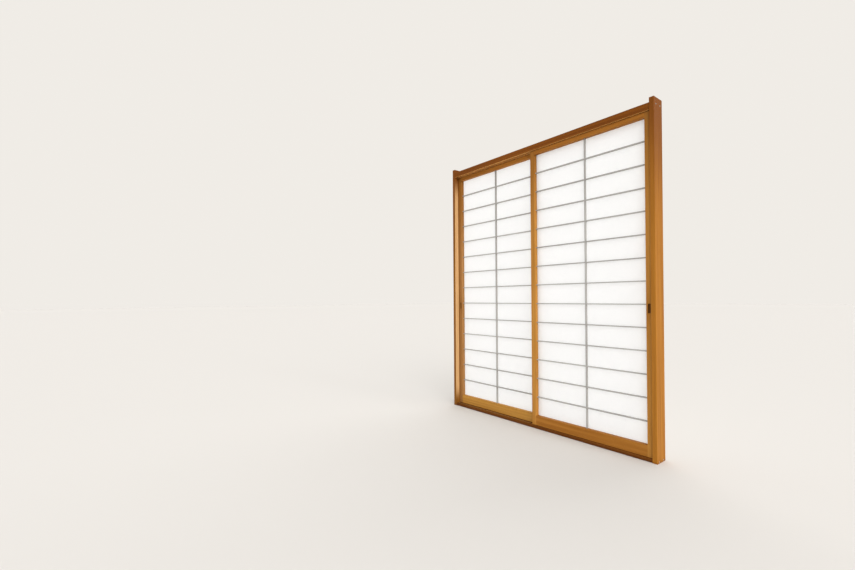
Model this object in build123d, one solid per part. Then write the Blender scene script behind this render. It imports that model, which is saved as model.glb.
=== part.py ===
from build123d import *
import os

# A pair of sliding shoji panels in their wooden frame, in millimetres. +X runs to the right
# and +Y away from the room, as someone in the room sees it. The origin is on the floor, in
# the middle of the frame's width and depth. The front panel closes the right half and the
# back panel closes the left half, and each slides behind or in front of the other.

# Paper field of one panel
row_count = 14              # panes from bottom to top
column_count = 2            # panes from side to side
row_clear = 126.0           # open height of one pane
column_clear = 375.5        # open width of one pane
bar_face = 6.0              # lattice bar, seen from the room
bar_depth = 15.0            # lattice bar, front to back

# Panel members
panel_thick = 30.0
stile_face = 34.0
top_rail_face = 26.0        # full thickness, without its tongue
bottom_rail_face = 65.0     # full thickness, without its tongue
panel_chamfer = 0.8         # broken edges of stiles and rails

# Joints inside a panel
tenon_thick = 9.0           # rail tenons, front to back
tenon_length = 24.0         # rail tenons, into the stile
tenon_shoulder = 4.0        # wood above and below a tenon
twin_tenon_gap = 12.0       # between the two tenons of the bottom rail
stub_face = 4.0             # lattice bar tenons, across the bar's face
stub_depth = 9.0            # lattice bar tenons, front to back
stub_length = 6.0
mortise_end_gap = 0.5       # glue room at the bottom of every mortise

# Paper sheet
paper_thick = 0.4
paper_rebate_depth = 1.0    # step in the back of stiles and rails that takes the sheet
paper_rebate_width = 10.0
paper_edge_gap = 1.5        # from the sheet's edge to the step

# Finger pull, cut into the outer stile of each panel
pull_width = 15.0
pull_height = 52.0
pull_depth = 8.0
pull_level = 832.0          # middle of the pull above the sill
pull_chamfer = 1.2          # broken edge round its mouth

# Tongues of the panels and the grooves that they run in
tongue_thick = 19.0
tongue_play = 1.0           # on each side of the tongue
head_groove_depth = 15.0
head_grip = 9.0             # how far the top tongue reaches into the head
sill_groove_depth = 3.0
panel_gap = 3.0             # between the two panels, front to back
top_gap = 5.0               # from the panel's top shoulder to the head
bottom_gap = 1.0            # from the panel's bottom shoulder to the sill
running_gap = 0.3           # from the bottom tongue to the slip strip

# Slip strips in the sill grooves
strip_width = 18.0
strip_thick = 1.0
strip_end_gap = 1.0

# Frame
jamb_face = 27.0
jamb_proud = 3.0            # how far jambs stand out past head and sill, front and back
head_height = 40.0
sill_height = 21.0
horn_height = 25.0          # jamb above the head
front_lip = 15.0            # from the head's front to the front groove
back_lip = 25.0             # from the back groove to the head's back
housing_depth = 6.0         # head and sill ends let into the jambs
rebate_depth = 3.0          # step in a jamb that takes the closing edge of a panel
rebate_play = 1.0           # in front of and behind the closing edge
closing_gap = 0.5           # from the closed panel to the bottom of the rebate
stop_gap = 0.5              # from the open panel to the jamb
frame_chamfer = 1.0
horn_chamfer = 2.0

# Countersunk screws through the jambs into head and sill
screw_spacing = 50.0        # front to back
screw_length = 55.0
screw_point = 8.0           # tapered end of the screw
shank_radius = 2.25
screw_head_radius = 4.2
screw_head_height = 3.0
screw_fit = 0.05            # hole radius more than screw radius
drive_span = 4.6            # cross recess in the screw head
drive_width = 1.0
drive_depth = 1.6

# Sizes that follow
field_width = column_count * column_clear + (column_count - 1) * bar_face
field_height = row_count * row_clear + (row_count - 1) * bar_face
panel_width = field_width + 2 * stile_face
bar_front = panel_thick - paper_rebate_depth - bar_depth
groove_width = tongue_thick + 2 * tongue_play
track_pitch = panel_thick + panel_gap
ridge = track_pitch - groove_width

# Heights
sill_top = sill_height
strip_top = sill_top - sill_groove_depth + strip_thick
panel_bottom = strip_top + running_gap
bottom_shoulder = sill_top + bottom_gap
field_bottom = bottom_shoulder + bottom_rail_face
field_top = field_bottom + field_height
top_shoulder = field_top + top_rail_face
head_bottom = top_shoulder + top_gap
panel_top = head_bottom + head_grip
head_top = head_bottom + head_height
jamb_top = head_top + horn_height

# Depths
rail_depth = front_lip + 2 * groove_width + ridge + back_lip
frame_depth = rail_depth + 2 * jamb_proud
frame_front = -frame_depth / 2
rail_front = -rail_depth / 2
front_track = rail_front + front_lip + groove_width / 2
back_track = front_track + track_pitch

# Widths
overlap = stile_face
closing_reach = rebate_depth - closing_gap
clear_width = 2 * panel_width - overlap - 2 * closing_reach
frame_width = clear_width + 2 * jamb_face
front_panel_x = clear_width / 2 + closing_reach - panel_width / 2
back_panel_x = -front_panel_x
travel = clear_width - panel_width + closing_reach - stop_gap


def block(x0, x1, y0, y1, z0, z1):
    """A rectangular block between two corners."""
    middle = Pos((x0 + x1) / 2, (y0 + y1) / 2, (z0 + z1) / 2)
    return middle * Box(x1 - x0, y1 - y0, z1 - z0)


def broken_rectangle(u0, u1, v0, v1, cut):
    """A rectangle with its four corners cut off at 45 degrees."""
    return make_face(Polyline(
        (u0 + cut, v0), (u1 - cut, v0), (u1, v0 + cut), (u1, v1 - cut),
        (u1 - cut, v1), (u0 + cut, v1), (u0, v1 - cut), (u0, v0 + cut), close=True))


def groove_centres():
    """Front to back positions of the two tracks."""
    return [front_track, back_track]


# Frame

def cross_rail(z0, z1, length):
    """Head or sill before its grooves: one section carried along X."""
    section = broken_rectangle(rail_front, -rail_front, z0, z1, frame_chamfer)
    return extrude(Plane.YZ * section, amount=length / 2, both=True)


def head_rail():
    """Head with two deep grooves in its underside and a ridge between them."""
    length = clear_width + 2 * housing_depth
    head = cross_rail(head_bottom, head_top, length)
    for y in groove_centres():
        head -= block(-length / 2, length / 2, y - groove_width / 2, y + groove_width / 2,
                      head_bottom, head_bottom + head_groove_depth)
    return drilled(head)


def sill_rail():
    """Sill with two shallow grooves in its top."""
    length = clear_width + 2 * housing_depth
    sill = cross_rail(0, sill_top, length)
    for y in groove_centres():
        sill -= block(-length / 2, length / 2, y - groove_width / 2, y + groove_width / 2,
                      sill_top - sill_groove_depth, sill_top)
    return drilled(sill)


def jamb(side, track):
    """Upright from the floor to the horn. side is -1 on the left and 1 on the right.
    Its inner face is let in for head and sill, and rebated where its panel closes."""
    inner = clear_width / 2
    outer = inner + jamb_face
    section = broken_rectangle(inner, outer, frame_front, -frame_front, frame_chamfer)
    post = extrude(Plane.XY * section, amount=jamb_top)
    post = chamfer(post.faces().sort_by(Axis.Z)[-1].edges(), horn_chamfer - frame_chamfer)
    housed = clear_width + 2 * housing_depth
    post -= cross_rail(head_bottom, head_top, housed)
    post -= cross_rail(0, sill_top, housed)
    rebate_half = panel_thick / 2 + rebate_play
    post -= block(inner, inner + rebate_depth, track - rebate_half, track + rebate_half,
                  sill_top, head_bottom)
    if side < 0:
        post = mirror(post, about=Plane.YZ)
    return drilled(post)


def slip_strip(track):
    """Thin strip on the bottom of a sill groove."""
    half = clear_width / 2 - strip_end_gap
    return block(-half, half, track - strip_width / 2, track + strip_width / 2,
                 strip_top - strip_thick, strip_top)


def screw_shape(fit):
    """A countersunk screw, revolved round X with its head's face at x = 0 and its point
    towards -X. fit is added to every radius, which gives the hole for it."""
    shank = shank_radius + fit
    head = screw_head_radius + fit
    profile = make_face(Polyline(
        (0, 0), (0, head), (-screw_head_height, shank),
        (-screw_length + screw_point, shank), (-screw_length, 0), close=True))
    return revolve(profile, Axis.X)


def screw():
    """A countersunk screw with a cross recess."""
    body = screw_shape(0)
    half = drive_span / 2
    body -= block(-drive_depth, 0, -half, half, -drive_width / 2, drive_width / 2)
    body -= block(-drive_depth, 0, -drive_width / 2, drive_width / 2, -half, half)
    return body


def screw_places():
    """Where each screw's head face lies: four in each jamb, pointing inwards."""
    head_level = head_top - (head_height - head_groove_depth) / 2
    sill_level = (sill_height - sill_groove_depth) / 2
    x = frame_width / 2
    places = []
    for z in (sill_level, head_level):
        for y in (-screw_spacing / 2, screw_spacing / 2):
            places.append(Pos(x, y, z))
            places.append(Pos(-x, y, z) * Rot(0, 0, 180))
    return places


def drilled(piece):
    """The piece with the holes of those screws that pass through it."""
    for place in screw_places():
        piece -= place * screw_shape(screw_fit)
    return piece


def frame_screws():
    """All screws of the frame."""
    return Compound(children=[place * screw() for place in screw_places()])


# Panels. Each piece is drawn with its panel's middle at x = 0 and its front face at y = 0.

def bar_levels():
    """Heights of the lattice bars' middles, from the bottom up."""
    pitch = row_clear + bar_face
    return [field_bottom + pitch * row - bar_face / 2 for row in range(1, row_count)]


def bar_columns():
    """Positions of the upright bars' middles, from left to right."""
    pitch = column_clear + bar_face
    return [pitch * column - bar_face / 2 - field_width / 2 for column in range(1, column_count)]


def field_chamfer():
    """Cutter that breaks the front edge of stiles and rails round the paper field, with
    mitred corners: a frustum that narrows to the field."""
    mouth = Rectangle(field_width + 2 * panel_chamfer, field_height + 2 * panel_chamfer)
    frustum = extrude(mouth, amount=-panel_chamfer, taper=45)
    return Pos(0, 0, (field_bottom + field_top) / 2) * Rot(90, 0, 0) * frustum


def paper_step():
    """Cutter for the step that takes the paper, in the back of stiles and rails."""
    reach = paper_rebate_width
    return block(-field_width / 2 - reach, field_width / 2 + reach,
                 panel_thick - paper_rebate_depth, panel_thick,
                 field_bottom - reach, field_top + reach)


def tongue_shoulders():
    """Cutters that thin a panel's top and bottom edges to the tongues."""
    half = panel_width / 2
    front = (panel_thick - tongue_thick) / 2
    cutters = []
    for z0, z1 in ((panel_bottom, bottom_shoulder), (top_shoulder, panel_top)):
        cutters.append(block(-half, half, 0, front, z0, z1))
        cutters.append(block(-half, half, panel_thick - front, panel_thick, z0, z1))
    return cutters


def finished(member):
    """A stile or rail with its tongues, its paper step and its broken inner edge."""
    for cutter in tongue_shoulders():
        member -= cutter
    member -= paper_step()
    member -= field_chamfer()
    return member


def rail_tenon_levels():
    """Bottom and top of each rail tenon: one on the top rail, two on the bottom rail."""
    low = bottom_shoulder + tenon_shoulder
    high = field_bottom - tenon_shoulder
    height = (high - low - twin_tenon_gap) / 2
    return {"bottom": [(low, low + height), (high - height, high)],
            "top": [(field_top + tenon_shoulder, top_shoulder - tenon_shoulder)]}


def rail_tenon(end_x, reach, z0, z1):
    """A tenon, or the mortise for it, from a shoulder at end_x over the length reach."""
    front = (panel_thick - tenon_thick) / 2
    return block(min(end_x, end_x + reach), max(end_x, end_x + reach),
                 front, front + tenon_thick, z0, z1)


def stub_front():
    """Front of the lattice bars' tenons, behind the panel's front face."""
    return bar_front + (bar_depth - stub_depth) / 2


def side_stub(end_x, reach, level):
    """Tenon of a horizontal lattice bar, or the mortise for it."""
    return block(min(end_x, end_x + reach), max(end_x, end_x + reach),
                 stub_front(), stub_front() + stub_depth,
                 level - stub_face / 2, level + stub_face / 2)


def end_stub(column_x, end_z, reach):
    """Tenon of an upright lattice bar, or the mortise for it."""
    return block(column_x - stub_face / 2, column_x + stub_face / 2,
                 stub_front(), stub_front() + stub_depth,
                 min(end_z, end_z + reach), max(end_z, end_z + reach))


def finger_pull(x):
    """Cutter for the finger pull: a straight pocket with a broken edge round its mouth."""
    mouth = Rectangle(pull_width + 2 * pull_chamfer, pull_height + 2 * pull_chamfer)
    edge = Rot(90, 0, 0) * extrude(mouth, amount=-pull_chamfer, taper=45)
    pocket = block(-pull_width / 2, pull_width / 2, 0, pull_depth,
                   -pull_height / 2, pull_height / 2)
    return Pos(x, 0, sill_top + pull_level) * (edge + pocket)


def stile(side, with_pull):
    """Upright of a panel, mortised for rails and bars. side is -1 on the left, 1 on the
    right. The stile runs the full height and carries its share of both tongues."""
    inner = field_width / 2
    outer = panel_width / 2
    section = make_face(Polyline(
        (inner, 0), (outer - panel_chamfer, 0), (outer, panel_chamfer),
        (outer, panel_thick - panel_chamfer), (outer - panel_chamfer, panel_thick),
        (inner, panel_thick), close=True))
    member = Pos(0, 0, panel_bottom) * extrude(section, amount=panel_top - panel_bottom)
    reach = tenon_length + mortise_end_gap
    levels = rail_tenon_levels()
    for z0, z1 in levels["bottom"] + levels["top"]:
        member -= rail_tenon(inner, reach, z0, z1)
    for level in bar_levels():
        member -= side_stub(inner, stub_length + mortise_end_gap, level)
    if side < 0:
        member = mirror(member, about=Plane.YZ)
    member = finished(member)
    if with_pull:
        member -= finger_pull(side * (inner + outer) / 2)
    return member


def panel_rail(z0, z1, tenon_levels, field_edge, bar_reach):
    """Rail between the stiles with a tenon at each end. field_edge is its edge at the
    paper, and bar_reach the signed depth of the mortises for the upright bars."""
    half = field_width / 2
    member = block(-half, half, 0, panel_thick, z0, z1)
    for bottom, top in tenon_levels:
        member += rail_tenon(half, tenon_length, bottom, top)
        member += rail_tenon(-half, -tenon_length, bottom, top)
    for column_x in bar_columns():
        member -= end_stub(column_x, field_edge, bar_reach)
    return finished(member)


def top_rail():
    """Top rail with its tongue."""
    reach = stub_length + mortise_end_gap
    return panel_rail(field_top, panel_top, rail_tenon_levels()["top"], field_top, reach)


def bottom_rail():
    """Bottom rail with twin tenons and a low tongue."""
    reach = stub_length + mortise_end_gap
    return panel_rail(panel_bottom, field_bottom, rail_tenon_levels()["bottom"],
                      field_bottom, -reach)


def lap_depths(crossing, upright):
    """Front and back of the notch at a crossing. The laps alternate up the panel, so that
    each upright bar is woven through the horizontal ones."""
    middle = bar_front + bar_depth / 2
    cut_from_front = (crossing % 2 == 0) == upright
    if cut_from_front:
        return bar_front, middle
    return middle, bar_front + bar_depth


def horizontal_bar(row, level):
    """Lattice bar from stile to stile, notched where it crosses the upright bars."""
    half = field_width / 2
    bar = block(-half, half, bar_front, bar_front + bar_depth,
                level - bar_face / 2, level + bar_face / 2)
    bar += side_stub(half, stub_length, level)
    bar += side_stub(-half, -stub_length, level)
    for column, column_x in enumerate(bar_columns()):
        y0, y1 = lap_depths(row + column, upright=False)
        bar -= block(column_x - bar_face / 2, column_x + bar_face / 2, y0, y1,
                     level - bar_face / 2, level + bar_face / 2)
    return bar


def upright_bar(column, column_x):
    """Lattice bar from rail to rail, notched where it crosses the horizontal bars."""
    bar = block(column_x - bar_face / 2, column_x + bar_face / 2,
                bar_front, bar_front + bar_depth, field_bottom, field_top)
    bar += end_stub(column_x, field_bottom, -stub_length)
    bar += end_stub(column_x, field_top, stub_length)
    for row, level in enumerate(bar_levels()):
        y0, y1 = lap_depths(row + column, upright=True)
        bar -= block(column_x - bar_face / 2, column_x + bar_face / 2, y0, y1,
                     level - bar_face / 2, level + bar_face / 2)
    return bar


def paper_sheet():
    """One sheet pasted on the backs of the bars and on the step round the field."""
    reach = paper_rebate_width - paper_edge_gap
    back = panel_thick - paper_rebate_depth
    return block(-field_width / 2 - reach, field_width / 2 + reach, back, back + paper_thick,
                 field_bottom - reach, field_top + reach)


def panel_pieces(pull_side):
    """Every piece of one panel by name. pull_side is the side of its closing stile."""
    pieces = {"stile_left": stile(-1, pull_side < 0),
              "stile_right": stile(1, pull_side > 0),
              "top_rail": top_rail(),
              "bottom_rail": bottom_rail(),
              "paper": paper_sheet()}
    for column, column_x in enumerate(bar_columns()):
        pieces[f"upright_bar_{column + 1}"] = upright_bar(column, column_x)
    for row, level in enumerate(bar_levels()):
        pieces[f"bar_{row + 1:02d}"] = horizontal_bar(row, level)
    return pieces


def all_pieces():
    """Every node of the part by name."""
    nodes = {"head_rail": head_rail(),
             "sill_rail": sill_rail(),
             "jamb_left": jamb(-1, back_track),
             "jamb_right": jamb(1, front_track),
             "slip_strip_front": slip_strip(front_track),
             "slip_strip_back": slip_strip(back_track),
             "frame_screws": frame_screws()}
    panels = (("front_panel", 1, front_panel_x, front_track),
              ("back_panel", -1, back_panel_x, back_track))
    for panel, pull_side, x, track in panels:
        place = Pos(x, track - panel_thick / 2, 0)
        for name, piece in panel_pieces(pull_side).items():
            nodes[f"{panel}_{name}"] = place * piece
    return nodes


os.makedirs("parts", exist_ok=True)
for node, shape in all_pieces().items():
    export_step(shape, f"parts/{node}.step")
print(f"frame {frame_width:.1f} wide, {frame_depth:.1f} deep, {jamb_top:.1f} high")
print(f"panel {panel_width:.1f} wide, {panel_top - panel_bottom:.1f} high, slides {travel:.1f}")
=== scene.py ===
import math

import bpy
import numpy as np
from mathutils import Matrix, Vector


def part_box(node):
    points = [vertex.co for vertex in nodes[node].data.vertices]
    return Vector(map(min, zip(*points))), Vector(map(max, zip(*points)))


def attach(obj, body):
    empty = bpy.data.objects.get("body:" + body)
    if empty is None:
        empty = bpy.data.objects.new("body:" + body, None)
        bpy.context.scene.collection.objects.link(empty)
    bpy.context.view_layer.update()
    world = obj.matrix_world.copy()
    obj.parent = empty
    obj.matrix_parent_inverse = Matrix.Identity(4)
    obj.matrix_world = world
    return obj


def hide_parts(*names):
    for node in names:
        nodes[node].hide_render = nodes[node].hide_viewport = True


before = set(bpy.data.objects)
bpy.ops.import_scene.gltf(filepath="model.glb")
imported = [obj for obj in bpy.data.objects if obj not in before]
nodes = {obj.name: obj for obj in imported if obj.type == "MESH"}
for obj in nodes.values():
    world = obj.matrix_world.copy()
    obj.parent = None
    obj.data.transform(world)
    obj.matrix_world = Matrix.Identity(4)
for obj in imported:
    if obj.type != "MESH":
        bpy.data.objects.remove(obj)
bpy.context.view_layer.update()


# The view: an eye at chest height in the room, to the right of the screen and turned well
# to the left, as the photograph was taken. The lens centre lies below the picture's middle.
IMAGE_WIDTH = 855
FOCAL_PIXELS = 412.9
CENTRE_DROP_PIXELS = 10.7
SENSOR_WIDTH_MM = 36.0
EYE = (1.8428, -2.4295, 0.9163)
TURN_LEFT = math.radians(51.95)
TILT_UP = math.radians(0.40)
ROLL = math.radians(-0.37)

camera_data = bpy.data.cameras.new("camera")
camera_data.sensor_width = SENSOR_WIDTH_MM
camera_data.lens = FOCAL_PIXELS / IMAGE_WIDTH * SENSOR_WIDTH_MM
camera_data.shift_y = CENTRE_DROP_PIXELS / IMAGE_WIDTH
camera = bpy.data.objects.new("camera", camera_data)
bpy.context.scene.collection.objects.link(camera)
camera.matrix_world = (Matrix.Translation(EYE)
                       @ Matrix.Rotation(TURN_LEFT, 4, "Z")
                       @ Matrix.Rotation(math.pi / 2 + TILT_UP, 4, "X")
                       @ Matrix.Rotation(ROLL, 4, "Z"))
bpy.context.scene.camera = camera
bpy.context.scene.view_settings.view_transform = "Standard"


# Frame: two jambs that run up past the head as horns, and a grooved head and sill housed and
# screwed in them. Each is its own board of quarter-sawn softwood, aged to a reddish amber, the
# left jamb darker than the right. Painted shade darkens the head, the upper jambs and, in
# part, the sill. Painted light makes the jambs' inner sides and the underside of the head
# pale, as if lit by the glowing paper.
JAMB_TONES = {"jamb_left": ((0.262, 0.102, 0.0122), (0.154, 0.053, 0.0042)),
              "jamb_right": ((0.425, 0.170, 0.0200), (0.252, 0.088, 0.0068))}
# Painted shade: the darker tones that the jambs take towards the top, as if less light reached
# it.
JAMB_TOP_SHADE_TONES = ((0.245, 0.078, 0.0070), (0.150, 0.041, 0.0028))
# Painted light: pale tones on the jambs' inner sides, as if lit by the glowing paper.
JAMB_LIT_TONES = ((0.690, 0.410, 0.1850), (0.480, 0.265, 0.1000))
# The head's board tones, darkened with painted shade as if the top of the frame got less
# light.
HEAD_SHADED_TONES = ((0.240, 0.072, 0.0045), (0.130, 0.034, 0.0015))
# The sill's board tones: darker wood, with painted shade of its low front added.
SILL_SHADED_TONES = ((0.195, 0.064, 0.0070), (0.108, 0.031, 0.0026))
# Painted light: pale tones under the head and in its grooves, as if lit by the glowing paper.
HEAD_LIT_TONES = ((0.680, 0.350, 0.1050), (0.470, 0.210, 0.0500))
FRAME_RING = 0.0031             # metres from ring to ring
BOARD_SEED = 11
BOARD_LOG = (0.34, 0.30)        # the log's middle from the face of a board, aside and behind
BOARD_SPREAD = 0.12             # how far that varies from board to board
BOARD_START = 40                # within how many metres of log a board is cut
TONE_SPREAD = 0.10              # how far boards differ in darkness
GRAIN_STRETCH = 0.03            # how slowly the figure changes along the grain
RING_WANDER = 13.0              # radians, so rings stand now closer and now wider
WANDER_NOISE = {"Detail": 3.0, "Detail_Scale": 0.22, "Detail_Roughness": 0.5}
LATE_WOOD = (0.20, 0.92)        # part of a year in which its wood grows darker
YEAR_END = (0.95, 1.00)         # part in which the next year's pale wood sets in
FIBRES = (850.0, 3.0, 0.6)      # scale, detail and roughness of fibres a millimetre apart
BANDS = (55.0, 2.0, 0.5)        # and of bands of darker and lighter growth, about 20 mm wide
USUAL = (0.3, 0.7)              # between these lie most values of a noise
RINGS_IN_BANDS = (0.35, 1.0)    # how clearly rings show in a light band and in a dark one
WOOD_CONTRAST = 1.25
RING_DARKNESS = 0.45            # how much rings, fibres and bands darken, at a contrast of 1
FIBRE_DARKNESS = 0.6
BAND_DARKNESS = 0.9
USUAL_DARKNESS = 0.92           # what the three together add on average
MIDDLE_TONE = 0.5               # a board lies halfway between its two tones
HAND_FADE = (0.03, 0.16)        # distances over which the darkening by hands fades
HAND_FRAY = 0.06                # how far fibres fray its edge
HAND_DARKNESS = 0.30
FOOT_SHADE_FADE = (-0.004, 0.014)    # heights over which the painted shade at the floor contact fades
FOOT_SHADE_CREEP = -0.008            # how far it creeps up along fibres
FOOT_SHADE_DARKNESS = 0.7
TOP_SHADE_HEIGHTS = (1.30, 2.05)         # heights between which painted shade darkens upright boards
TOP_SHADE_DARKNESS = 0.35
UPPER_START = 1.15              # height from which upright boards take their top tones of painted shade
UPPER_BEYOND = 0.08             # above their top, where they would have them in full
HEAD_EDGE = (0.0009, 0.0003)    # in from the head's front and back, where its painted light ends
GROOVE_TOP = (0.0152, 0.0158)   # up from its underside, where it ends just past the grooves
INNER_SKIN = (0.0002, 0.0008)   # depths in a jamb's inner side at which its painted light ends
REBATE_MIDDLES = (0.0115, -0.0215)      # y of the left jamb's rebate, and of the right's
REBATE_UNLIT_EDGE = (0.021, 0.027)    # from there, where the edge beside the rebate, kept in its darker board tone, turns pale with painted light
LIT_SIDE_FOOT = (0.03, 0.17)        # heights over which the painted light on the inner side fades in, at its foot
LIT_SIDE_TOP = (1.74, 1.975)        # and over which it fades out again, at its top
WOOD_GLOSS = 0.12               # specular level of planed, unvarnished wood
WOOD_ROUGHNESS = (0.50, 0.68)
WOOD_RELIEF = (0.3, 0.0002)     # strength and depth of the grain

boards = np.random.default_rng(BOARD_SEED)


def shader_node(tree, kind, **values):
    """A shader node with values on its named inputs, an underscore standing for a space."""
    made = tree.nodes.new(kind)
    for name, value in values.items():
        made.inputs[name.replace("_", " ")].default_value = value
    return made


def combine(tree, operation, *values, clamp=False):
    """The result of a Math node whose inputs are sockets or plain numbers."""
    made = tree.nodes.new("ShaderNodeMath")
    made.operation = operation
    made.use_clamp = clamp
    for socket, value in zip(made.inputs, values):
        if isinstance(value, bpy.types.NodeSocket):
            tree.links.new(value, socket)
        else:
            socket.default_value = value
    return made.outputs["Value"]


def smooth_range(tree, value, low, high, to_low=0.0, to_high=1.0):
    """A value carried smoothly from one range to another."""
    made = shader_node(tree, "ShaderNodeMapRange", To_Min=to_low, To_Max=to_high)
    made.interpolation_type = "SMOOTHSTEP"
    made.inputs["From Min"].default_value = low
    made.inputs["From Max"].default_value = high
    tree.links.new(value, made.inputs["Value"])
    return made.outputs["Result"]


def blended(tree, amount, first, second):
    """The colour that lies between two, sockets or plain colours, by an amount from 0 to 1."""
    made = tree.nodes.new("ShaderNodeMix")
    made.data_type = "RGBA"
    for name, colour in (("A", first), ("B", second)):
        if isinstance(colour, bpy.types.NodeSocket):
            tree.links.new(colour, made.inputs[name])
        else:
            made.inputs[name].default_value = (*colour, 1)
    tree.links.new(amount, made.inputs["Factor"])
    return made.outputs["Result"]


def moved_place(tree, place, stretch, shift, turn=0.0):
    """The place on a piece, stretched, turned about Y and moved."""
    made = shader_node(tree, "ShaderNodeMapping", Location=shift, Rotation=(0, turn, 0),
                       Scale=stretch)
    tree.links.new(place, made.inputs["Vector"])
    return made.outputs["Vector"]


def noise(tree, place, scale, detail, roughness, stretch=(1, 1, 1), shift=(0, 0, 0), turn=0.0):
    """Noise of about 1 / scale metres, at a place that is stretched, turned and moved."""
    made = shader_node(tree, "ShaderNodeTexNoise", Scale=scale, Detail=detail,
                       Roughness=roughness)
    tree.links.new(moved_place(tree, place, stretch, shift, turn), made.inputs["Vector"])
    return made.outputs["Fac"]


def new_finish(name):
    """An empty material: itself, its node tree, its shader and the place on the piece."""
    material = bpy.data.materials.new(name)
    material.use_nodes = True
    tree = material.node_tree
    place = tree.nodes.new("ShaderNodeTexCoord").outputs["Object"]
    return material, tree, tree.nodes["Principled BSDF"], place


def relief(tree, shader, height, strength, distance):
    """Bump on a shader from a height."""
    made = shader_node(tree, "ShaderNodeBump", Strength=strength, Distance=distance)
    tree.links.new(height, made.inputs["Height"])
    tree.links.new(made.outputs["Normal"], shader.inputs["Normal"])


def growth_rings(tree, place, along, ring, stretch, shift):
    """Year rings from 0, the pale start of a year, to 1, its dark end: a saw wave of the
    distance from the log's middle line, which runs along X or Z, with a slow wander."""
    radians_per_metre = 20      # of the wave texture at a scale of 1
    made = shader_node(tree, "ShaderNodeTexWave", Distortion=RING_WANDER, **WANDER_NOISE,
                       Scale=2 * math.pi / (radians_per_metre * ring))
    made.wave_type = "RINGS"
    made.rings_direction = along
    made.wave_profile = "SAW"
    tree.links.new(moved_place(tree, place, stretch, shift), made.inputs["Vector"])
    late = smooth_range(tree, made.outputs["Fac"], *LATE_WOOD)
    turn_of_year = smooth_range(tree, made.outputs["Fac"], *YEAR_END, 1.0, 0.0)
    return combine(tree, "MULTIPLY", late, turn_of_year)


def underside(tree, parts, low, high):
    """1 in the grooves and on the underside of the head, whose box is given, and else 0: where
    painted light makes the head pale.
    """
    reach = combine(tree, "ABSOLUTE", parts["Y"])
    inside = smooth_range(tree, reach, *(high.y - edge for edge in HEAD_EDGE), 1.0, 0.0)
    below = smooth_range(tree, parts["Z"], *(low.z + top for top in GROOVE_TOP), 1.0, 0.0)
    return combine(tree, "MULTIPLY", inside, below)


def shaded_upper_part(tree, parts, low, high):
    """0 up to chest height, and from there smoothly to 1 at the top: where painted shade
    darkens upright boards.
    """
    return smooth_range(tree, parts["Z"], UPPER_START, high.z + UPPER_BEYOND)


def inner_side(tree, parts, low, high):
    """1 on a jamb's side towards the opening, beside the rebate for the closed panel, and 0
    in the rebate, at the jamb's top and at its foot: where painted light makes the jamb pale."""
    reach = combine(tree, "ABSOLUTE", parts["X"])
    inner = min(abs(low.x), abs(high.x))
    facing = smooth_range(tree, reach, *(inner + depth for depth in INNER_SKIN), 1.0, 0.0)
    rebate = REBATE_MIDDLES[low.x > 0]
    away = combine(tree, "ABSOLUTE", combine(tree, "SUBTRACT", parts["Y"], rebate))
    clear = combine(tree, "MULTIPLY", facing, smooth_range(tree, away, *REBATE_UNLIT_EDGE))
    clear = combine(tree, "MULTIPLY", clear, smooth_range(tree, parts["Z"], *LIT_SIDE_FOOT))
    return combine(tree, "MULTIPLY", clear,
                   smooth_range(tree, parts["Z"], *LIT_SIDE_TOP, 1.0, 0.0))


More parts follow.
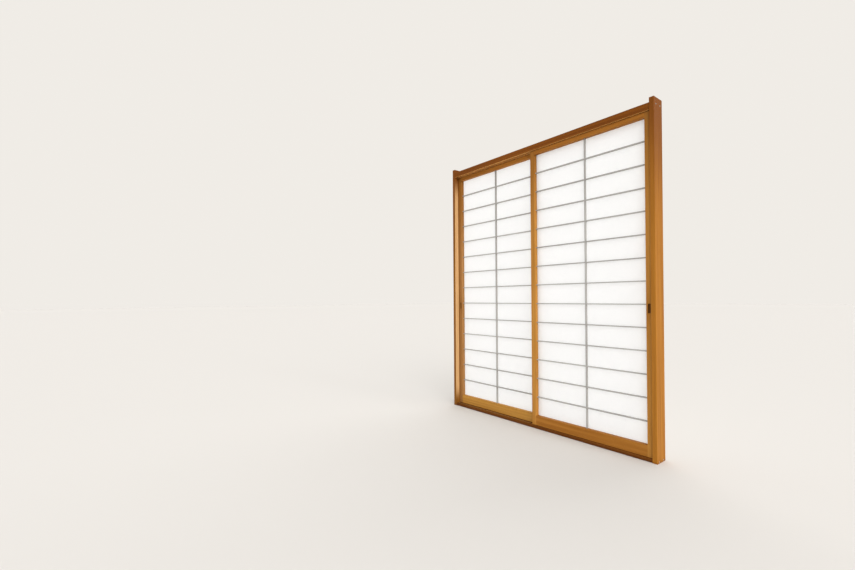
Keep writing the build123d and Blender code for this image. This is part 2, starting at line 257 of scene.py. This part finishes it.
def planed_wood(name, along, tones, ring, contrast=WOOD_CONTRAST, touched=None, others=()):
    """Quarter-sawn softwood with its grain along X or Z, cut from a log of its own. Year
    rings, fine fibres and broad bands are added up to one darkness, which sets the colour
    between two tones. The wood is darker round a place that hands touch. Painted shade
    darkens it at its foot, where it meets the floor, and on upright boards towards the top.
    The others are parts with painted light and painted shade in tones of their own: each a
    mask, a node's name and tones."""
    material, tree, shader, place = new_finish(name)
    aside, behind = np.add(BOARD_LOG, boards.uniform(-BOARD_SPREAD, BOARD_SPREAD, 2))
    start = boards.uniform(0, BOARD_START)
    darker = boards.uniform(-TONE_SPREAD, TONE_SPREAD)
    shift = (start, behind, aside) if along == "X" else (aside, behind, start)
    stretch = (GRAIN_STRETCH, 1, 1) if along == "X" else (1, 1, GRAIN_STRETCH)
    streak = tuple(size if size == 1 else size / 2 for size in stretch)

    fibres = noise(tree, place, *FIBRES, streak, shift)
    bands = noise(tree, place, *BANDS, stretch, shift)
    rings = combine(tree, "MULTIPLY", growth_rings(tree, place, along, ring, stretch, shift),
                    smooth_range(tree, bands, *USUAL, *RINGS_IN_BANDS))
    darkness = combine(tree, "MULTIPLY_ADD", rings, RING_DARKNESS * contrast,
                       MIDDLE_TONE + darker)
    darkness = combine(tree, "MULTIPLY_ADD", fibres, FIBRE_DARKNESS * contrast, darkness)
    darkness = combine(tree, "MULTIPLY_ADD", bands, BAND_DARKNESS * contrast, darkness)
    darkness = combine(tree, "SUBTRACT", darkness, USUAL_DARKNESS * contrast)
    if touched:
        distance = shader_node(tree, "ShaderNodeVectorMath")
        distance.operation = "DISTANCE"
        distance.inputs[1].default_value = touched
        tree.links.new(place, distance.inputs[0])
        patch = combine(tree, "MULTIPLY_ADD", fibres, HAND_FRAY, distance.outputs["Value"])
        darkness = combine(tree, "ADD", darkness,
                           smooth_range(tree, patch, *HAND_FADE, HAND_DARKNESS, 0.0))
    split = tree.nodes.new("ShaderNodeSeparateXYZ")
    tree.links.new(place, split.inputs["Vector"])
    parts = split.outputs
    # Painted shade where the wood meets the floor, creeping up along the fibres.
    foot_shade = combine(tree, "MULTIPLY_ADD", fibres, FOOT_SHADE_CREEP, parts["Z"])
    darkness = combine(tree, "ADD", darkness,
                       smooth_range(tree, foot_shade, *FOOT_SHADE_FADE, FOOT_SHADE_DARKNESS, 0.0))
    # Painted shade: upright boards darker towards the top.
    if along == "Z":
        darkness = combine(tree, "ADD", darkness,
                           smooth_range(tree, parts["Z"], *TOP_SHADE_HEIGHTS, 0.0, TOP_SHADE_DARKNESS))
    darkness = combine(tree, "MINIMUM", combine(tree, "MAXIMUM", darkness, 0.0), 1.0)
    colour = blended(tree, darkness, *tones)
    # The others: painted light and painted shade on parts of the board.
    for part, node, part_tones in others:
        colour = blended(tree, part(tree, parts, *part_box(node)), colour,
                         blended(tree, darkness, *part_tones))
    tree.links.new(colour, shader.inputs["Base Color"])

    tree.links.new(smooth_range(tree, fibres, *USUAL, *WOOD_ROUGHNESS),
                   shader.inputs["Roughness"])
    shader.inputs["Specular IOR Level"].default_value = WOOD_GLOSS
    relief(tree, shader, combine(tree, "ADD", rings, fibres), *WOOD_RELIEF)
    return material


def dress(name, material):
    """Give a solid of the frame or of a panel its finish."""
    piece = nodes[name]
    piece.data.materials.clear()
    piece.data.materials.append(material)


# The jambs take painted shade towards the top and painted light on their inner sides.
for name, tones in JAMB_TONES.items():
    dress(name, planed_wood(f"{name}_wood", "Z", tones, FRAME_RING,
                            others=((shaded_upper_part, name, JAMB_TOP_SHADE_TONES),
                                    (inner_side, name, JAMB_LIT_TONES))))
# The head has painted shade on its face and painted light underneath; the sill has painted
# shade.
dress("head_rail", planed_wood("head_wood", "X", HEAD_SHADED_TONES, FRAME_RING,
                               others=((underside, "head_rail", HEAD_LIT_TONES),)))
dress("sill_rail", planed_wood("sill_wood", "X", SILL_SHADED_TONES, FRAME_RING))


# Screws: eight countersunk ones of zinc-plated steel through the jambs into the ends of the
# head and sill, flush with the jambs' outer sides.
PLATING_TONES = ((0.60, 0.58, 0.53), (0.42, 0.40, 0.36))
PLATING_ROUGHNESS = (0.28, 0.50)
FINGER_MARKS = (600.0, 3.0, 0.6)        # scale, detail and roughness


def plated_steel(name):
    """Dull plating whose gloss is mottled by finger marks."""
    material, tree, shader, place = new_finish(name)
    shader.inputs["Metallic"].default_value = 1.0
    marks = noise(tree, place, *FINGER_MARKS)
    tree.links.new(blended(tree, marks, *PLATING_TONES), shader.inputs["Base Color"])
    tree.links.new(smooth_range(tree, marks, *USUAL, *PLATING_ROUGHNESS),
                   shader.inputs["Roughness"])
    return material


dress("frame_screws", plated_steel("screw_steel"))


# Slip strips: thin brown tape of hard plastic in the two grooves of the sill. The panels
# run on it, and have rubbed fine lines along it.
STRIP_TONES = ((0.300, 0.170, 0.065), (0.190, 0.098, 0.032))
STRIP_ROUGHNESS = (0.25, 0.42)
STRIP_RELIEF = (0.2, 0.0001)    # strength and depth of the rub lines
RUB_LINES = (1400.0, 2.0, 0.5)  # their scale, detail and roughness
RUB_STRETCH = (0.01, 1, 1)


def rubbed_plastic(name):
    """Smooth plastic with fine rub lines along X."""
    material, tree, shader, place = new_finish(name)
    rubs = noise(tree, place, *RUB_LINES, RUB_STRETCH)
    tree.links.new(blended(tree, rubs, *STRIP_TONES), shader.inputs["Base Color"])
    tree.links.new(smooth_range(tree, rubs, *USUAL, *STRIP_ROUGHNESS),
                   shader.inputs["Roughness"])
    relief(tree, shader, rubs, *STRIP_RELIEF)
    return material


strip_plastic = rubbed_plastic("strip_plastic")
dress("slip_strip_front", strip_plastic)
dress("slip_strip_back", strip_plastic)


# Stiles and rails of the two sliding panels: honey-brown softwood, finer in the ring than
# the frame, joined with stub and twin tenons. Hands have darkened the closing stiles round
# their finger pulls. Painted shade darkens the stiles towards the top and inside the finger
# pulls.
STILE_TONES = ((0.560, 0.262, 0.0520), (0.350, 0.139, 0.0190))
# Painted shade: the darker tones that the stiles take towards the top.
STILE_TOP_SHADE_TONES = ((0.394, 0.172, 0.0310), (0.246, 0.091, 0.0110))
RAIL_TONES = ((0.440, 0.180, 0.0280), (0.270, 0.092, 0.0090))
# Two boards stand out from the rest: the back panel's left stile is darker, and its bottom
# rail is paler with painted light, as if more light fell on the left.
OWN_TONES = {"back_panel_stile_left": ((0.400, 0.196, 0.0640), (0.245, 0.104, 0.0240)),
             "back_panel_bottom_rail": ((0.600, 0.305, 0.0620), (0.370, 0.156, 0.0200))}
PANEL_RING = 0.0023
# The middle of each finger pull's mouth.
PULLS = {"front_panel_stile_right": (0.791, -0.0365, 0.853),
         "back_panel_stile_left": (-0.791, -0.0035, 0.853)}
# Painted shade: dark tones inside each finger pull's recess.
PULL_SHADE_TONES = ((0.200, 0.075, 0.0110), (0.125, 0.043, 0.0050))
PULL_HALF = (0.0078, 0.0263)    # half its width and height, with room to spare
PULL_MOUTH = 0.0010             # the broken edge round its mouth keeps the stile's tone
PULL_SOFT = 0.0006              # over which one tone passes into the other
PULL_END = (0.009, 0.010)       # depths in the stile, past its bottom, where its tone ends


def pull_recess(tree, parts, low, high):
    """1 inside the finger pull of a closing stile whose box is given, and else 0: where
    painted shade darkens the recess.
    """
    middle = next(place for place in PULLS.values() if low.x < place[0] < high.x)
    inside = smooth_range(tree, parts["Y"], low.y + PULL_MOUTH, low.y + PULL_MOUTH + PULL_SOFT)
    for axis, at, half in (("X", middle[0], PULL_HALF[0]), ("Z", middle[2], PULL_HALF[1])):
        away = combine(tree, "ABSOLUTE", combine(tree, "SUBTRACT", parts[axis], at))
        inside = combine(tree, "MULTIPLY", inside,
                         smooth_range(tree, away, half, half + PULL_SOFT, 1.0, 0.0))
    shallow = smooth_range(tree, parts["Y"], *(low.y + depth for depth in PULL_END), 1.0, 0.0)
    return combine(tree, "MULTIPLY", inside, shallow)


for panel in ("front_panel", "back_panel"):
    for side in ("left", "right"):
        name = f"{panel}_stile_{side}"
        # Stiles take painted shade towards the top; closing stiles also inside their finger
        # pulls.
        others = [(shaded_upper_part, name, STILE_TOP_SHADE_TONES)]
        if name in PULLS:
            others.append((pull_recess, name, PULL_SHADE_TONES))
        tones = OWN_TONES.get(name, STILE_TONES)
        dress(name, planed_wood(f"{name}_wood", "Z", tones, PANEL_RING,
                                touched=PULLS.get(name), others=others))
    for level in ("top", "bottom"):
        name = f"{panel}_{level}_rail"
        tones = OWN_TONES.get(name, RAIL_TONES)
        dress(name, planed_wood(f"{name}_wood", "X", tones, PANEL_RING))


# Lattice: slender bars of pale, straight-grained wood, half-lapped where they cross and
# tenoned into the stiles and rails. Their grey tone is painted shade, as of bars lit from
# behind.
LATTICE_SHADED_TONES = ((0.485, 0.475, 0.455), (0.280, 0.268, 0.248))
LATTICE_RING = 0.0013
LATTICE_CONTRAST = 1.0

for name in nodes:
    if "_bar_" in name:
        along = "Z" if "_upright_" in name else "X"
        dress(name, planed_wood(f"{name}_wood", along, LATTICE_SHADED_TONES, LATTICE_RING,
                                LATTICE_CONTRAST))


# Paper: one sheet of white mulberry paper on each panel, pasted to the back of the lattice
# and drawn tight as it dried. Between the bars it hollows by 0.4 mm.
PAPER_TONES = ((0.962, 0.969, 0.977), (0.915, 0.924, 0.935))
PAPER_GLOW = 0.75               # share of the light that goes on through each face
PAPER_ROUGHNESS = 0.9
PAPER_GLOSS = 0.15
PAPER_RELIEF = (0.25, 0.0001)   # strength and depth of its fibres
PAPER_HOLLOW = 0.0004
CELLS_ACROSS = 18               # mesh cells in one pane
CELLS_UP = 10
PULP = (45.0, 5.0, 0.65)        # scale, detail and roughness of the clouds of pulp
PULP_SHARE = 0.8                # how much they darken the sheet
PULP_LEVEL = -0.1               # taken off again
THREADS = ((0.4, 26.0), (-0.9, 38.0), (2.0, 61.0))      # turn and scale of three layers
THREAD_NOISE = (1.0, 0.4)       # detail and roughness of the noise that they follow
THREAD_STRETCH = (0.6, 1, 1)
THREAD_EDGE = (0.002, 0.008)    # how far that noise is from its middle where threads fade
THREAD_SHARE = 0.35             # how much a thread darkens the sheet


def pane_lines(low, high, bars, cells):
    """Grid lines from low to high that are finer beside each bar: in every pane they stand
    at (1 - cos(pi t)) / 2 of its width, for evenly spaced t. Also each line's place from
    0 to 1 within its pane."""
    step = (1 - np.cos(np.pi * np.linspace(0, 1, cells + 1))) / 2
    edges = np.array([low, *bars, high])
    lines = edges[:-1, None] + np.diff(edges)[:, None] * step[None, :-1]
    within = np.broadcast_to(step[:-1], lines.shape)
    return np.append(lines.ravel(), high), np.append(within.ravel(), 1.0)


def pasted_sheet(name, low, high, uprights, levels):
    """A closed sheet with a front and a back grid over x and z. Its depth y is the front
    plane plus the hollow, PAPER_HOLLOW (1 - (2u - 1)^4) (1 - (2v - 1)^4), where u and v run
    from 0 to 1 across and up each pane."""
    x, u = pane_lines(low.x, high.x, uprights, CELLS_ACROSS)
    z, v = pane_lines(low.z, high.z, levels, CELLS_UP)
    hollow = PAPER_HOLLOW * np.outer(1 - (2 * v - 1) ** 4, 1 - (2 * u - 1) ** 4)
    across, up = np.meshgrid(x, z)
    front = np.stack([across, low.y + hollow, up], axis=-1)
    back = front + (0, high.y - low.y, 0)
    vertices = np.concatenate([front.reshape(-1, 3), back.reshape(-1, 3)])

    index = np.arange(front.shape[0] * front.shape[1]).reshape(front.shape[:2])
    quads = np.stack([index[:-1, :-1], index[:-1, 1:], index[1:, 1:], index[1:, :-1]],
                     axis=-1).reshape(-1, 4)
    rim = np.concatenate([index[0, :-1], index[:-1, -1], index[-1, :0:-1], index[:0:-1, 0]])
    following = np.roll(rim, -1)
    behind = index.size
    walls = np.stack([rim, rim + behind, following + behind, following], axis=-1)
    faces = np.concatenate([quads, quads[:, ::-1] + behind, walls])

    mesh = bpy.data.meshes.new(name)
    mesh.from_pydata(vertices.tolist(), [], faces.tolist())
    smooth = np.arange(len(faces)) < 2 * len(quads)
    mesh.polygons.foreach_set("use_smooth", smooth)
    mesh.update()
    sheet = bpy.data.objects.new(name, mesh)
    bpy.context.scene.collection.objects.link(sheet)
    return sheet


def mulberry_paper(name):
    """Matt white paper that lets some light through. Clouds of pulp, and long thin fibres
    that are the level lines of a soft noise, make it faintly uneven."""
    material, tree, shader, place = new_finish(name)
    clouds = noise(tree, place, *PULP)
    uneven = combine(tree, "MULTIPLY_ADD", clouds, PULP_SHARE, PULP_LEVEL)
    for turn, scale in THREADS:
        soft = noise(tree, place, scale, *THREAD_NOISE, THREAD_STRETCH, (turn, 0, scale), turn)
        level_line = combine(tree, "ABSOLUTE", combine(tree, "SUBTRACT", soft, 0.5))
        thread = smooth_range(tree, level_line, *THREAD_EDGE, THREAD_SHARE, 0.0)
        uneven = combine(tree, "ADD", uneven, thread)
    uneven = combine(tree, "MINIMUM", uneven, 1.0)
    tint = blended(tree, uneven, *PAPER_TONES)
    tree.links.new(tint, shader.inputs["Base Color"])
    shader.inputs["Roughness"].default_value = PAPER_ROUGHNESS
    shader.inputs["Specular IOR Level"].default_value = PAPER_GLOSS
    relief(tree, shader, uneven, *PAPER_RELIEF)
    glow = tree.nodes.new("ShaderNodeBsdfTranslucent")
    tree.links.new(tint, glow.inputs["Color"])
    both = tree.nodes.new("ShaderNodeMixShader")
    both.inputs["Fac"].default_value = PAPER_GLOW
    surface = shader.outputs["BSDF"].links[0].to_socket
    tree.links.new(shader.outputs["BSDF"], both.inputs[1])
    tree.links.new(glow.outputs["BSDF"], both.inputs[2])
    tree.links.new(both.outputs["Shader"], surface)
    return material


paper_white = mulberry_paper("shoji_paper")
for panel in ("front_panel", "back_panel"):
    flat = f"{panel}_paper"
    low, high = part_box(flat)
    bars = [name for name in nodes if name.startswith(f"{panel}_bar_")]
    levels = sorted(sum(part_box(name), Vector()).z / 2 for name in bars)
    uprights = [sum(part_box(f"{panel}_upright_bar_1"), Vector()).x / 2]
    sheet = pasted_sheet(f"{panel}_paper_sheet", low, high, uprights, levels)
    sheet.data.materials.append(paper_white)
    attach(sheet, panel)
    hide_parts(flat)


# Studio: a wide pale floor and backdrop, even light from all round, a soft sun from the
# right in front and a weaker one from behind.
FLOOR_HALF = 60.0
FLOOR_COLOUR = (0.73, 0.700, 0.660)
BACKDROP_COLOUR = (0.872, 0.840, 0.793)
ROOM_LIGHT = 0.60
SUN_SOFTNESS = math.radians(70)
FRONT_SUN = 3.1
FRONT_SUN_FROM = (2.0, -0.85, 0.85)
BACK_SUN = 1.15
BACK_SUN_FROM = (-0.5, 1.0, 0.9)


def flat_floor():
    """A matt square at z = 0."""
    half = FLOOR_HALF
    mesh = bpy.data.meshes.new("floor")
    mesh.from_pydata([(-half, -half, 0), (half, -half, 0), (half, half, 0), (-half, half, 0)],
                     [], [(0, 1, 2, 3)])
    floor = bpy.data.objects.new("floor", mesh)
    bpy.context.scene.collection.objects.link(floor)
    material, tree, shader, place = new_finish("floor")
    shader.inputs["Base Color"].default_value = (*FLOOR_COLOUR, 1)
    shader.inputs["Roughness"].default_value = 1.0
    shader.inputs["Specular IOR Level"].default_value = 0.0
    mesh.materials.append(material)


def studio_world():
    """Even white light, and a pale backdrop where the eye or a gloss looks past."""
    world = bpy.data.worlds.new("studio")
    bpy.context.scene.world = world
    world.use_nodes = True
    tree = world.node_tree
    light = tree.nodes["Background"]
    light.inputs["Color"].default_value = (1, 1, 1, 1)
    light.inputs["Strength"].default_value = ROOM_LIGHT
    backdrop = shader_node(tree, "ShaderNodeBackground", Color=(*BACKDROP_COLOUR, 1),
                           Strength=1.0)
    rays = tree.nodes.new("ShaderNodeLightPath").outputs
    seen = combine(tree, "ADD", rays["Is Camera Ray"], rays["Is Glossy Ray"])
    seen = combine(tree, "ADD", seen, rays["Is Transmission Ray"], clamp=True)
    mix = tree.nodes.new("ShaderNodeMixShader")
    tree.links.new(seen, mix.inputs["Fac"])
    tree.links.new(light.outputs["Background"], mix.inputs[1])
    tree.links.new(backdrop.outputs["Background"], mix.inputs[2])
    tree.links.new(mix.outputs["Shader"], tree.nodes["World Output"].inputs["Surface"])


def soft_sun(name, strength, source):
    """A sun so wide that its shadows have no edge, shining from a direction."""
    lamp = bpy.data.lights.new(name, "SUN")
    lamp.energy = strength
    lamp.angle = SUN_SOFTNESS
    sun = bpy.data.objects.new(name, lamp)
    bpy.context.scene.collection.objects.link(sun)
    sun.rotation_euler = Vector(source).to_track_quat("Z", "Y").to_euler()


flat_floor()
studio_world()
soft_sun("front_sun", FRONT_SUN, FRONT_SUN_FROM)
soft_sun("back_sun", BACK_SUN, BACK_SUN_FROM)
